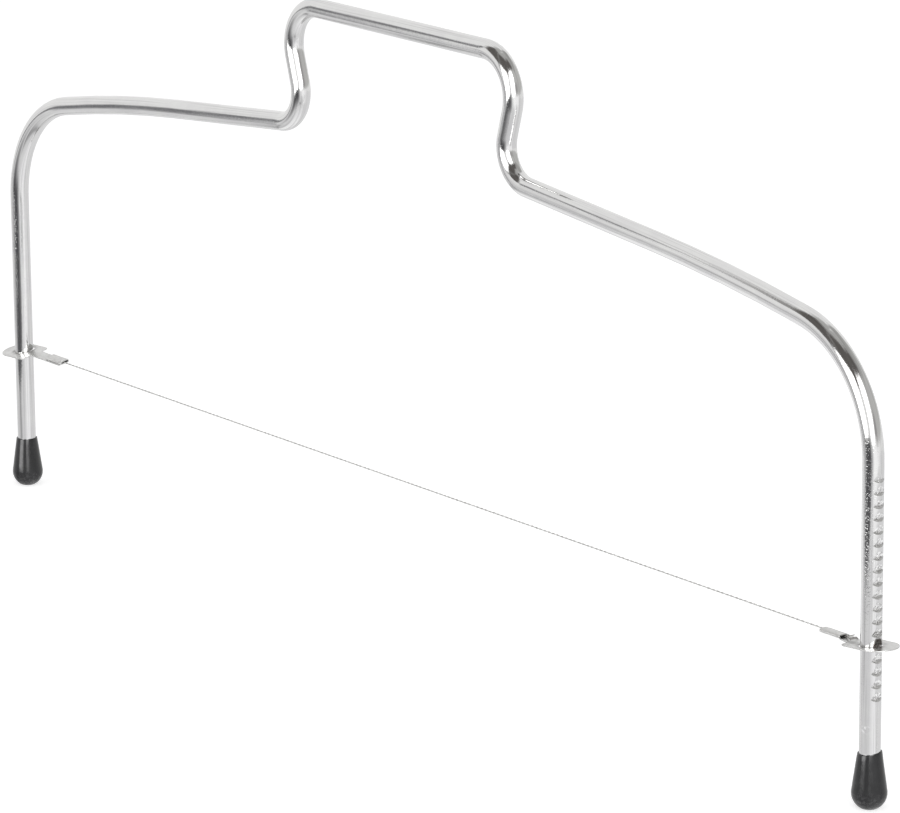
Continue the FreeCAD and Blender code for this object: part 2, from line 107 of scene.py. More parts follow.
# The clips, as the right one lies: the plate round the leg and the tab towards the wire.
clip_low, clip_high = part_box("right_clip")
SHEET = 0.28 * MM
HEM_ROUND = SHEET + 2 * STRAND_RADIUS
CLIP_BOTTOM = WIRE_Z - HEM_ROUND
CLIP_HALF_WIDTH = (clip_high.y - clip_low.y) / 2
CLIP_MIDDLE_Y = (clip_high.y + clip_low.y) / 2
CLIP_NOSE_X = clip_high.x
CLIP_NOSE_ROUND = CLIP_HALF_WIDTH * 0.998  # just too small for the two rounds to meet
CLIP_INNER_X = LEG_X - 6.1 * MM
CLIP_CORNER = 1.2 * MM
SLOT_RADIUS = ROD_RADIUS + 0.25 * MM
SLOT_OUTER_X = LEG_X + ROD_RADIUS + 0.2 * MM - SLOT_RADIUS
SLOT_INNER_X = LEG_X - ROD_RADIUS - 0.4 * MM + SLOT_RADIUS
TAB_HALF_WIDTH = 1.7 * MM
HEM_LENGTH = 6.8 * MM
TAB_END_X = clip_low.x + 1.9 * MM
HEM_SET_BACK = 0.3 * MM
SHEET_EDGE = 0.05 * MM
CRIMP_START = 0.35 * MM
CRIMP_RUN = 0.55 * MM
CRIMP_DROP = 0.42 * MM
RIGHT_PLATE_LIFT = math.radians(4.8)
RIGHT_PLATE_HINGE_X = LEG_X - 2.5 * MM
LEFT_PLATE_DROOP = math.radians(3.5)
LEFT_PLATE_HINGE_X = -LEG_X + 3.7 * MM
LEFT_CLIP_ROLL = math.radians(10.6)
LEFT_TAB_EXTRA = 4.0 * MM

# The finishes: their colours, where they are marked, where light and shade are painted on them,
# and the depths of their surfaces.
PLATE = (0.715, 0.715, 0.705)
PLATE_CLOUDED = (0.685, 0.68, 0.68)
PLATE_STREAK = (0.56, 0.555, 0.555)
PLATE_SCUFFED = (0.98, 0.98, 0.97)
# Painted shade on the notch ledges, darkest at their roots.
NOTCH_SHADE = (0.34, 0.33, 0.32)
# A painted highlight in patches on the notch slopes.
NOTCH_HIGHLIGHT = (0.97, 0.97, 0.96)
NOTCH_FILE_MARK = (0.4, 0.395, 0.39)
# Painted shade of the gap where the right clip's slot meets the leg's notch.
GAP_SHADE = (0.1, 0.08, 0.07)
VINYL = (0.006, 0.006, 0.007)
VINYL_GREYED = (0.013, 0.013, 0.014)
VINYL_SCUFFED = (0.12, 0.12, 0.122)
SHEET_BRIGHT = (0.66, 0.66, 0.65)
SHEET_DULL = (0.57, 0.565, 0.555)
# Painted shade that the leg casts on the plate round its hole.
SHEET_CONTACT_SHADE = (0.3, 0.295, 0.29)
# A painted highlight: the bright glint on the plate beside the leg.
SHEET_GLINT = (0.78, 0.78, 0.77)
WIRE_BRIGHT = (0.7, 0.7, 0.69)
WIRE_DULL = (0.52, 0.515, 0.505)
# Painted shade on the wire's sprung cut ends.
WIRE_END_SHADE = (0.22, 0.21, 0.2)
# Where that painted shade of the gap sits on the right leg, just above the clip.
GAP_SHADE_SPOT = (LEG_X + 2.3 * MM, 0.0, WIRE_Z + 0.7 * MM)
SCUFF_SPOT = (LEG_X + 0.91 * MM, -2.33 * MM, FOOT_TOP + 6 * MM)
# Where the painted highlight sits on each plate.
GLINT_SPOT = Vector((2.5 * MM, -1.9 * MM, 0))  # from the leg's middle
DRAWN_LINE_DEPTH = 0.02 * MM
PEEL_DEPTH = 0.0105 * MM
FILED_DEPTH = 0.2 * MM
VINYL_SKIN_DEPTH = 0.0015 * MM
VINYL_SCUFF_DEPTH = 0.02 * MM
SHEET_GRAIN_DEPTH = 0.008 * MM

# The photograph's viewing angle.
CAMERA_AZIMUTH = math.radians(52.60)
CAMERA_ELEVATION = math.radians(15.0)
CAMERA_ROLL = math.radians(-0.50)
CAMERA_DISTANCE = 1.305
CAMERA_AIM = Vector((0.0186, 0, 0.0616))
CAMERA_LENS = 213.12

# The studio: azimuths and elevations in degrees, distances in metres.
STUDIO_CENTRE = Vector((0, 0, 70 * MM))
FILL_LEVEL = 0.45
FLOOR_SIZE = 16
FLOOR_Z = -0.1 * MM
FLOOR_GLOW = 0.62
LAMP_ENERGY = 22
LAMP_SIZE = 1.6
LAMP_DISTANCE = 2.8
SOFTBOX_DISTANCE = 2.6
SOFTBOX_STRENGTH = 2.3
HOT_MIDDLE_DISTANCE = 2.5
HOT_MIDDLE_STRENGTH = 6.5
CARD_STEPS = 32
WHITE = (1.0, 1.0, 1.0)
WARM_DARK = (0.138, 0.13, 0.124)

# The table as the metal mirrors it. Its front edge faces the front's azimuth, at the edge's
# distance from the frame's middle; elsewhere it runs on as far as it is shown. A pair of numbers
# says where a change starts and where it ends.
TABLE_SHADE = (0.83, 0.83, 0.84)
TABLE_FRONT = -13
TABLE_FIRST, TABLE_LAST = -66, 130
TABLE_END_FADE = 16
TABLE_EDGE = 160 * MM
TABLE_SHOWN = 400 * MM
FRONT_TO_SIDE = (30, 60)
FRONT_FADE = (0.84, 1.0)
SIDE_FADE = (0.3, 0.8)
BRIGHTER_BY = 0.36
BRIGHTER_FROM = (22, 82)
BRIGHTER_UNTIL = (130, 90)
SHADOW_START_FADE = 0.2
BELOW_SHADE = (0.9, 0.9, 0.91)
BELOW_SIZE = 80
BELOW_Z = -7


def begin(name):
    """Names the primitive that was just added and opens it for shaping, all selected."""
    piece = bpy.context.object
    piece.name = name
    piece.data.name = name
    bpy.ops.object.transform_apply(location=True, rotation=True, scale=True)
    bpy.ops.object.mode_set(mode="EDIT")
    bpy.ops.mesh.select_mode(type="VERT")
    bpy.ops.mesh.select_all(action="SELECT")
    return piece


def make_active(piece):
    bpy.ops.object.select_all(action="DESELECT")
    piece.select_set(True)
    bpy.context.view_layer.objects.active = piece


def reopen(piece):
    """Opens a finished piece for more shaping."""
    make_active(piece)
    bpy.ops.object.mode_set(mode="EDIT")


def pick(kind, test):
    """Selects what passes the test in the open piece: verts, edges or faces, by their middles."""
    bpy.ops.mesh.select_mode(type=kind)
    bpy.ops.mesh.select_all(action="DESELECT")
    data = bpy.context.object.data
    shape = bmesh.from_edit_mesh(data)
    if kind == "VERT":
        for vert in shape.verts:
            vert.select_set(test(vert.co))
    elif kind == "EDGE":
        for edge in shape.edges:
            edge.select_set(test((edge.verts[0].co + edge.verts[1].co) / 2, edge))
    else:
        for face in shape.faces:
            face.select_set(test(face.calc_center_median(), face.normal))
    shape.select_flush_mode()
    bmesh.update_edit_mesh(data)


def push(x=0.0, y=0.0, z=0.0):
    """Extrudes what is selected and moves it."""
    bpy.ops.mesh.extrude_region_move(TRANSFORM_OT_translate={"value": (x, y, z)})


def close_piece(smooth_angle):
    """Merges doubles, turns every face outwards and shades the finished piece."""
    bpy.ops.mesh.select_all(action="SELECT")
    bpy.ops.mesh.remove_doubles(threshold=MERGE)
    bpy.ops.mesh.normals_make_consistent(inside=False)
    bpy.ops.object.mode_set(mode="OBJECT")
    bpy.ops.object.shade_smooth_by_angle(angle=math.radians(smooth_angle))


def apply_modifier(kind, **settings):
    """Adds a modifier with these settings to the active piece and applies it."""
    modifier = bpy.context.object.modifiers.new(kind.lower(), kind)
    for setting, value in settings.items():
        setattr(modifier, setting, value)
    bpy.ops.object.modifier_apply(modifier=modifier.name)


def turned_copy(piece, name):
    """A copy with its own mesh, turned half round about the frame's upright middle."""
    copy = piece.copy()
    copy.data = piece.data.copy()
    copy.name = name
    copy.data.name = name
    bpy.context.scene.collection.objects.link(copy)
    reopen(copy)
    bpy.ops.mesh.select_all(action="SELECT")
    bpy.ops.transform.rotate(value=math.pi, orient_axis="Z", center_override=(0, 0, 0))
    bpy.ops.object.mode_set(mode="OBJECT")
    return copy


def rod_corners():
    """Corners of the rod's middle line, from the right leg to the left one, with bend radii."""
    shoulder_in = (CORNER - CROWN).normalized()
    shoulder_out = (CROWN - HANDLE_BASE).normalized()
    crown_turn = shoulder_in.angle(shoulder_out)
    crown_radius = CROWN_RUN / math.tan(crown_turn / 2)
    right = [
        (CORNER, CORNER_RADIUS),
        (CROWN, crown_radius),
        (HANDLE_BASE, HANDLE_BASE_RADIUS),
        (GRIP, GRIP_RADIUS),
    ]
    left = [(Vector((-point.x, 0, point.z)), radius) for point, radius in reversed(right)]
    return right + left


def rod_bends():
    """Every bend of the middle line in turn: its start, end, centre, radius, turn and side."""
    here = Vector((LEG_X, 0, LEG_END_Z))
    corners = rod_corners()
    stops = [point for point, radius in corners] + [Vector((-LEG_X, 0, LEG_END_Z))]
    bends = []
    for (corner, radius), after in zip(corners, stops[1:]):
        heading = (corner - here).normalized()
        leaving = (after - corner).normalized()
        turn = heading.angle(leaving)
        side = 1 if heading.x * leaving.z > heading.z * leaving.x else -1
        reach = radius * math.tan(turn / 2)
        start = corner - heading * reach
        centre = start + Vector((-heading.z, 0, heading.x)) * radius * side
        here = corner + leaving * reach
        bends.append((start, here, centre, radius, turn, side))
    return bends


def bend_frame():
    """The chromed rod, drawn out from the right leg's end and bent corner by corner."""
    here = Vector((LEG_X, 0, LEG_END_Z))
    bpy.ops.mesh.primitive_circle_add(
        vertices=ROD_SIDES, radius=ROD_RADIUS, fill_type="NOTHING", location=here
    )
    piece = begin("chrome_frame")
    row = NOTCH_COUNT * NOTCH_PITCH
    row_top = LOWEST_NOTCH_Z + (NOTCH_COUNT - 0.5) * NOTCH_PITCH
    push(0, 0, row_top - row - here.z)
    for _ in range(NOTCH_COUNT):
        push(0, 0, NOTCH_PITCH)
    here.z = row_top
    bends = rod_bends()
    for start, end, centre, radius, turn, side in bends:
        run = start - here
        push(run.x, 0, run.z)
        steps = max(LEAST_BEND_STEPS, math.ceil(turn / BEND_STEP))
        bpy.ops.mesh.spin(steps=steps, angle=turn, center=centre, axis=(0, side, 0))
        here = end
    push(0, 0, row_top - here.z)
    for _ in range(NOTCH_COUNT):
        push(0, 0, -NOTCH_PITCH)
    push(0, 0, LEG_END_Z - row_top + row)
    bpy.ops.mesh.select_all(action="SELECT")
    bpy.ops.mesh.fill_holes(sides=0)
    bpy.ops.mesh.normals_make_consistent(inside=False)
    bpy.ops.object.mode_set(mode="OBJECT")
    cut_notches(piece)
    bpy.ops.object.mode_set(mode="EDIT")
    close_piece(smooth_angle=30)
    mark_rod(piece, bends)
    return piece


def cut_notches(piece):
    """Cuts the row of notches into both legs with wedges set at the pitch."""
    root_x = LEG_X + ROD_RADIUS - NOTCH_DEPTH
    root_z = LOWEST_NOTCH_Z + NOTCH_ROOT_RISE
    reach = NOTCH_DEPTH + NOTCH_RUN_OUT
    low_z = root_z - NOTCH_LEDGE * reach / NOTCH_DEPTH
    high_z = root_z + NOTCH_SLOPE * reach / NOTCH_DEPTH
    bpy.ops.mesh.primitive_cube_add(
        size=1, location=(root_x + reach / 2, 0, (low_z + high_z) / 2)
    )
    bpy.context.object.dimensions = (reach, 2 * ROD_RADIUS, high_z - low_z)
    bpy.context.view_layer.update()
    wedge = begin("notch_wedge")
    pick("VERT", lambda place: place.x < root_x + reach / 2)
    bpy.ops.transform.resize(value=(1, 1, 0), center_override=(root_x, 0, root_z))
    pick("EDGE", lambda place, edge: abs(edge.verts[0].co.y - edge.verts[1].co.y) > ROD_RADIUS)
    bpy.ops.mesh.subdivide(number_cuts=23)
    close_piece(smooth_angle=10)
    apply_modifier(
        "ARRAY",
        count=NOTCH_COUNT,
        use_relative_offset=False,
        use_constant_offset=True,
        constant_offset_displace=(0, 0, NOTCH_PITCH),
    )
    apply_modifier("MIRROR")
    make_active(piece)
    apply_modifier("BOOLEAN", operation="DIFFERENCE", solver="EXACT", object=wedge)
    bpy.data.objects.remove(wedge)


def straight_place(point, bends):
    """Where a point of the rod would lie if the rod were straight: two across and one along."""
    nearest = None
    here = Vector((LEG_X, 0, LEG_END_Z))
    along = 0.0
    last = (Vector((-LEG_X, 0, LEG_END_Z)), None, None, 0, 0, 0)
    for start, end, centre, radius, turn, side in bends + [last]:
        heading = (start - here).normalized()
        length = (start - here).length
        reached = min(max((point - here).dot(heading), 0), length)
        gap = point - here - heading * reached
        across = gap.dot(Vector((-heading.z, 0, heading.x)))
        away = math.hypot(gap.x, gap.z)
        if nearest is None or away < nearest[0]:
            nearest = (away, across, along + reached)
        along += length
        if centre is None:
            break
        first = start - centre
        spoke = Vector((point.x, 0, point.z)) - centre
        swing = side * math.atan2(
            first.x * spoke.z - first.z * spoke.x, first.x * spoke.x + first.z * spoke.z
        )
        away = abs(spoke.length - radius)
        if 0 <= swing <= turn and away < nearest[0]:
            nearest = (away, side * (radius - spoke.length), along + swing * radius)
        along += turn * radius
        here = end
    return Vector((nearest[1], point.y, nearest[2]))


def mark_rod(piece, bends):
    """Stores where each point lies on the straight rod and in a notch, and marks notch faces."""
    attributes = piece.data.attributes
    attributes.new("straight_rod", "FLOAT_VECTOR", "POINT")
    attributes.new("notch_depth", "FLOAT", "POINT")
    attributes.new("notch_ledge", "FLOAT", "FACE")
    attributes.new("notch_slope", "FLOAT", "FACE")
    clear_of_end = LEG_END_Z + 1 * MM
    leg_top = CORNER.z - CORNER_RADIUS
    for vert in piece.data.vertices:
        place = straight_place(vert.co, bends)
        attributes["straight_rod"].data[vert.index].vector = place
        sunk = (ROD_RADIUS - math.hypot(place.x, place.y)) / NOTCH_DEPTH
        if abs(vert.co.x) > LEG_X and vert.co.z > clear_of_end:
            attributes["notch_depth"].data[vert.index].value = min(max(sunk, 0), 1)
    for face in piece.data.polygons:
        if abs(face.center.x) > LEG_X and clear_of_end < face.center.z < leg_top:
            rises = face.normal.z
            attributes["notch_ledge"].data[face.index].value = float(rises > LEDGE_LOOKS_UP)
            attributes["notch_slope"].data[face.index].value = float(rises < SLOPE_LOOKS_DOWN)


def foot_profile():
    """Radius and height of a plug foot's rings, from the sole to the rim and into the socket."""
    middle = math.sqrt(FOOT_BULGE**2 - FOOT_SOLE**2)
    rim_away = math.hypot(FOOT_RIM, FOOT_TOP - middle)
    touch = math.atan2(FOOT_TOP - middle, FOOT_RIM) - math.acos(FOOT_BULGE / rim_away)
    start = -math.atan2(middle, FOOT_SOLE)
    arc_steps = 16
    rings = []
    for step in range(arc_steps + 1):
        angle = start + (touch - start) * step / arc_steps
        rings.append((FOOT_BULGE * math.cos(angle), middle + FOOT_BULGE * math.sin(angle)))
    cone_start = rings[-1]
    cone_steps = 6
    lip = FOOT_TOP - FOOT_LIP_ROUND
    for step in range(1, cone_steps + 1):
        share = step / cone_steps
        radius = cone_start[0] + (FOOT_RIM - cone_start[0]) * share
        rings.append((radius, cone_start[1] + (lip - cone_start[1]) * share))
    lip_steps = 4
    for step in range(1, lip_steps + 1):
        angle = math.pi / 2 * step / lip_steps
        radius = FOOT_RIM - FOOT_LIP_ROUND + FOOT_LIP_ROUND * math.cos(angle)
        rings.append((radius, lip + FOOT_LIP_ROUND * math.sin(angle)))
    rings.append((FOOT_SOCKET, FOOT_TOP))
    rings.append((FOOT_SOCKET, LEG_END_Z))
    return rings


def mould_foot():
    """The right plug foot, drawn up ring by ring from its flat sole, with the leg's socket."""
    rings = foot_profile()
    radius, height = rings[0]
    bpy.ops.mesh.primitive_circle_add(
        vertices=FOOT_SIDES, radius=radius, fill_type="NGON", location=(LEG_X, 0, height)
    )
    piece = begin("right_plug_foot")
    for next_radius, next_height in rings[1:]:
        push(0, 0, next_height - height)
        scale = next_radius / radius
        bpy.ops.transform.resize(
            value=(scale, scale, 1), center_override=(LEG_X, 0, next_height)
        )
        radius, height = next_radius, next_height
    close_piece(smooth_angle=50)
    return piece


def lean_rim(piece):
    """Leans the right foot's rim a little, as one that was pushed on by hand."""
    reopen(piece)
    pick("VERT", lambda place: place.z > FOOT_TOP - 2 * FOOT_LIP_ROUND)
    shape = bmesh.from_edit_mesh(piece.data)
    for vert in shape.verts:
        if vert.select:
            aside = (vert.co - Vector((LEG_X, 0, 0))).dot(FOOT_LEAN_SIDE)
            vert.co.z += aside * math.tan(FOOT_RIM_LEAN)
    bmesh.update_edit_mesh(piece.data)
    bpy.ops.object.mode_set(mode="OBJECT")


def stamp_clip():
    """The right clip: a rounded plate with a long hole, and a tab hemmed over the wire."""
    nose_straight = CLIP_NOSE_X - CLIP_HALF_WIDTH
    length = CLIP_NOSE_X - CLIP_INNER_X
    bpy.ops.mesh.primitive_plane_add(
        size=1, location=(CLIP_INNER_X + length / 2, CLIP_MIDDLE_Y, CLIP_BOTTOM)
    )
    bpy.context.object.dimensions = (length, 2 * CLIP_HALF_WIDTH, 0)
    bpy.context.view_layer.update()
    piece = begin("right_wire_clip")
    pick("VERT", lambda place: place.x > nose_straight)
    bpy.ops.mesh.bevel(offset=CLIP_NOSE_ROUND, segments=24, affect="VERTICES")
    pick("VERT", lambda place: place.x < CLIP_INNER_X + SHEET)
    bpy.ops.mesh.bevel(offset=CLIP_CORNER, segments=8, affect="VERTICES")
    bpy.ops.mesh.select_all(action="SELECT")
    push(0, 0, SHEET)
    bpy.ops.mesh.select_all(action="SELECT")
    bpy.ops.mesh.normals_make_consistent(inside=False)
    bpy.ops.object.mode_set(mode="OBJECT")
    pierce_slot(piece)
    bpy.ops.object.mode_set(mode="EDIT")
    draw_tab()
    close_piece(smooth_angle=35)
    apply_modifier(
        "BEVEL", width=SHEET_EDGE, segments=2, limit_method="ANGLE", angle_limit=math.radians(50)
    )
    bpy.ops.object.shade_smooth_by_angle(angle=math.radians(40))
    return piece


def pierce_slot(piece):
    """Cuts the long hole for the leg out of the plate."""
    bpy.ops.mesh.primitive_circle_add(
        vertices=64,
        radius=SLOT_RADIUS,
        fill_type="NGON",
        location=(SLOT_INNER_X, 0, CLIP_BOTTOM - SHEET),
    )
    punch = begin("slot_punch")
    pick("VERT", lambda place: place.x > SLOT_INNER_X - HAIR)
    bpy.ops.transform.translate(value=(SLOT_OUTER_X - SLOT_INNER_X, 0, 0))
    bpy.ops.mesh.select_all(action="SELECT")
    push(0, 0, 3 * SHEET)
    close_piece(smooth_angle=30)
    make_active(piece)
    apply_modifier("BOOLEAN", operation="DIFFERENCE", solver="EXACT", object=punch)
    bpy.data.objects.remove(punch)


def pick_end(at_x, low_y=-math.inf, high_y=math.inf):
    """Selects the tab's end face, or the part of it between two sides."""
    pick(
        "FACE",
        lambda place, normal: abs(place.x - at_x) < HAIR
        and normal.x < -SQUARE_ON
        and low_y < place.y < high_y,
    )


def split_end(at_x, at_y):
    """Splits the tab's end face along an upright line."""
    pick_end(at_x)
    bpy.ops.mesh.bisect(plane_co=(at_x, at_y, 0), plane_no=(0, 1, 0))


def draw_tab():
    """Draws the tab out of the plate's inner edge and folds its front side over the wire."""
    hem_x = TAB_END_X + HEM_LENGTH
    fold_y = -TAB_HALF_WIDTH + HEM_ROUND
    split_end(CLIP_INNER_X, -TAB_HALF_WIDTH)
    split_end(CLIP_INNER_X, TAB_HALF_WIDTH)
    pick_end(CLIP_INNER_X, -TAB_HALF_WIDTH, TAB_HALF_WIDTH)
    push(hem_x - CLIP_INNER_X)
    split_end(hem_x, fold_y)
    pick_end(hem_x, fold_y, TAB_HALF_WIDTH)
    push(-HEM_LENGTH)
    pick(
        "FACE",
        lambda place, normal: abs(place.y - fold_y) < HAIR
        and normal.y < -SQUARE_ON
        and place.x < hem_x,
    )
    bpy.ops.mesh.spin(
        steps=14,
        angle=math.pi,
        center=(hem_x, fold_y, CLIP_BOTTOM + HEM_ROUND),
        axis=(1, 0, 0),
    )
    push(0, CRIMP_START - fold_y)
    push(0, CRIMP_RUN, -CRIMP_DROP)
    push(0, TAB_HALF_WIDTH - HEM_SET_BACK - CRIMP_START - CRIMP_RUN)


def tip_plate(piece, side, hinge_x, angle):
    """Tips a clip's plate, as the loose hole lets it sit on the leg, its +X side up."""
    reopen(piece)
    pick("VERT", lambda place: place.x * side > CLIP_INNER_X - HAIR)
    hinge = (hinge_x, 0, CLIP_BOTTOM + SHEET / 2)
    bpy.ops.transform.rotate(value=angle, orient_axis="Y", center_override=hinge)
    bpy.ops.object.mode_set(mode="OBJECT")


def roll_clip(piece, angle):
    """Rolls a whole clip about the wire that it hangs on, its +Y side up."""
    reopen(piece)
    bpy.ops.mesh.select_all(action="SELECT")
    bpy.ops.transform.rotate(value=-angle, orient_axis="X", center_override=(0, 0, WIRE_Z))
    bpy.ops.object.mode_set(mode="OBJECT")


def lengthen_left_tab(piece):
    """Draws the left clip's tab out further, with its hem."""
    reopen(piece)
    pick("VERT", lambda place: place.x > -CLIP_INNER_X + SHEET)
    bpy.ops.transform.translate(value=(LEFT_TAB_EXTRA, 0, 0))
    bpy.ops.object.mode_set(mode="OBJECT")


def spring_end(strand, steps):
    """Draws one strand's cut end on past the right hem and lets it spring away from the other."""
    pick(
        "VERT",
        lambda place: place.x > TWIST_END_X - HAIR and (place.z - WIRE_Z) * strand > 0,
    )
    for step in steps:
        push(*step)


def twist_wire():
    """Two strands laid round each other, with their cut ends sprung apart past the right hem."""
    hem_in_left_clip = LEFT_TAB_EXTRA - TAB_END_X - HEM_LENGTH
    turns = math.floor((WIRE_END_X - hem_in_left_clip) / TWIST_PITCH)
    bpy.ops.mesh.primitive_circle_add(
        vertices=STRAND_SIDES,
        radius=STRAND_RADIUS - STRAND_GAP / 2,
        fill_type="NOTHING",
        location=(TWIST_END_X - turns * TWIST_PITCH, 0, STRAND_RADIUS),
        rotation=(0, math.pi / 2, 0),
    )
    piece = begin("twisted_wire")
    bpy.ops.object.mode_set(mode="OBJECT")
    apply_modifier(
        "SCREW",
        axis="X",
        angle=2 * math.pi,
        screw_offset=TWIST_PITCH,
        iterations=turns,
        steps=TWIST_STEPS,
        render_steps=TWIST_STEPS,
    )
    bpy.ops.object.mode_set(mode="EDIT")
    bpy.ops.mesh.select_all(action="SELECT")
    bpy.ops.mesh.duplicate()
    bpy.ops.transform.rotate(value=math.pi, orient_axis="X", center_override=(0, 0, 0))
    bpy.ops.mesh.select_all(action="SELECT")
    bpy.ops.transform.translate(value=(0, 0, WIRE_Z))
    for strand, steps in SPRUNG_ENDS.items():
        spring_end(strand, steps)
    bpy.ops.mesh.select_all(action="SELECT")
    bpy.ops.mesh.fill_holes(sides=0)
    close_piece(smooth_angle=60)
    return piece


def add_node(tree, kind, inputs=None, **settings):
    """Adds a node with these settings; an input is a value or another node's output."""
    node = tree.nodes.new(kind)
    for setting, value in settings.items():
        setattr(node, setting, value)
    for socket, value in (inputs or {}).items():
        if isinstance(value, bpy.types.NodeSocket):
            tree.links.new(value, node.inputs[socket])
        else:
            node.inputs[socket].default_value = value
    return node


def compute(tree, operation, first, second):
    node = add_node(tree, "ShaderNodeMath", {0: first, 1: second}, operation=operation)
    return node.outputs[0]


def times(tree, first, *factors):
    """The product of several values."""
    for factor in factors:
        first = compute(tree, "MULTIPLY", first, factor)
    return first


def positive(tree, value):
    """The value, or nothing where it is below nothing."""
    return compute(tree, "MAXIMUM", value, 0.0)


def fade(tree, value, start, end, low=0.0, high=1.0, kind="LINEAR"):
    """Passes from low to high as the value goes from start to end, and no further."""
    node = add_node(
        tree,
        "ShaderNodeMapRange",
        {"Value": value, "From Min": start, "From Max": end, "To Min": low, "To Max": high},
        interpolation_type=kind,
    )
    return node.outputs["Result"]


def read_attribute(tree, name, output="Fac"):
    return add_node(tree, "ShaderNodeAttribute", attribute_name=name).outputs[output]


def separate(tree, place):
    """The X, Y and Z of a place."""
    return add_node(tree, "ShaderNodeSeparateXYZ", {0: place}).outputs


def near(tree, place, spot, full, none):
    """One within a distance of a spot, fading to nothing at another."""
    gap = add_node(
        tree, "ShaderNodeVectorMath", {0: place, 1: tuple(spot)}, operation="DISTANCE"
    )
    return fade(tree, gap.outputs["Value"], none, full, kind="SMOOTHSTEP")


def blend_colours(tree, share, first, second):
    """One colour passing into another; either may be a colour or a node's output."""
    node = add_node(tree, "ShaderNodeMix", data_type="RGBA")
    tree.links.new(share, node.inputs[0])
    for socket, colour in ((6, first), (7, second)):
        if isinstance(colour, bpy.types.NodeSocket):
            tree.links.new(colour, node.inputs[socket])
        else:
            node.inputs[socket].default_value = (*colour, 1)
    return node.outputs[2]


def raise_surface(tree, shader, *layers):
    """Bumps the surface by each height in turn, (height, distance in metres)."""
    normal = None
    for height, distance in layers:
        bump = add_node(tree, "ShaderNodeBump", {"Height": height, "Distance": distance})
        if normal:
            tree.links.new(normal, bump.inputs["Normal"])
        normal = bump.outputs["Normal"]
    tree.links.new(normal, shader.inputs["Normal"])


def new_group(name, inputs, output):
    """An empty node group: inputs as (name, type, default), and one output's name."""
    group = bpy.data.node_groups.new(name, "ShaderNodeTree")
    for label, kind, default in inputs:
        socket = group.interface.new_socket(label, in_out="INPUT", socket_type=kind)
        if default is not None:
            socket.default_value = default
    group.interface.new_socket(output, in_out="OUTPUT", socket_type="NodeSocketFloat")
    return group, group.nodes.new("NodeGroupInput"), group.nodes.new("NodeGroupOutput")


def make_patches_group():
    """Soft uneven patches, as handling and plating leave, between a low and a high value."""
    group, given, result = new_group(
        "soft_patches",
        [
            ("Place", "NodeSocketVector", None),
            ("Scale", "NodeSocketFloat", 100.0),
            ("Low", "NodeSocketFloat", 0.0),
            ("High", "NodeSocketFloat", 1.0),
        ],
        "Value",
    )
    noise = add_node(
        group,
        "ShaderNodeTexNoise",
        {"Vector": given.outputs["Place"], "Scale": given.outputs["Scale"], "Detail": 4.0},
    )
    noise_low, noise_high = 0.35, 0.65
    spread = fade(
        group,
        noise.outputs["Fac"],
        noise_low,
        noise_high,
        given.outputs["Low"],
        given.outputs["High"],
    )
    group.links.new(spread, result.inputs["Value"])
    return group


def make_lines_group():
    """Fine lines left by drawing or rolling, long in the third direction of the place given."""
    group, given, result = new_group(
        "drawn_lines",
        [
            ("Place", "NodeSocketVector", None),
            ("Fineness", "NodeSocketFloat", 3000.0),
            ("Shortness", "NodeSocketFloat", 0.03),
        ],
        "Height",
    )
    stretch = add_node(
        group, "ShaderNodeCombineXYZ", {0: 1.0, 1: 1.0, 2: given.outputs["Shortness"]}
    )
    drawn = add_node(
        group,
        "ShaderNodeVectorMath",
        {0: given.outputs["Place"], 1: stretch.outputs[0]},
        operation="MULTIPLY",
    )
    noise = add_node(
        group,
        "ShaderNodeTexNoise",
        {"Vector": drawn.outputs[0], "Scale": given.outputs["Fineness"], "Detail": 3.0},
    )
    group.links.new(noise.outputs["Fac"], result.inputs["Height"])
    return group


PATCHES = make_patches_group()
LINES = make_lines_group()


def place_group(tree, group, place, **values):
    """Puts a node group into a material with its own values."""
    node = tree.nodes.new("ShaderNodeGroup")
    node.node_tree = group
    tree.links.new(place, node.inputs["Place"])
    for label, value in values.items():
        node.inputs[label].default_value = value
    return node.outputs[0]


def patches(tree, place, scale, low=0.0, high=1.0):
    return place_group(tree, PATCHES, place, Scale=scale, Low=low, High=high)


def new_material(name, metallic):
    """A material with a Principled shader, and its tree, shader and Object coordinates."""
    material = bpy.data.materials.new(name)
    material.use_nodes = True
    tree = material.node_tree
    shader = tree.nodes["Principled BSDF"]
    shader.inputs["Metallic"].default_value = metallic
    place = tree.nodes.new("ShaderNodeTexCoord").outputs["Object"]
    return material, tree, shader, place


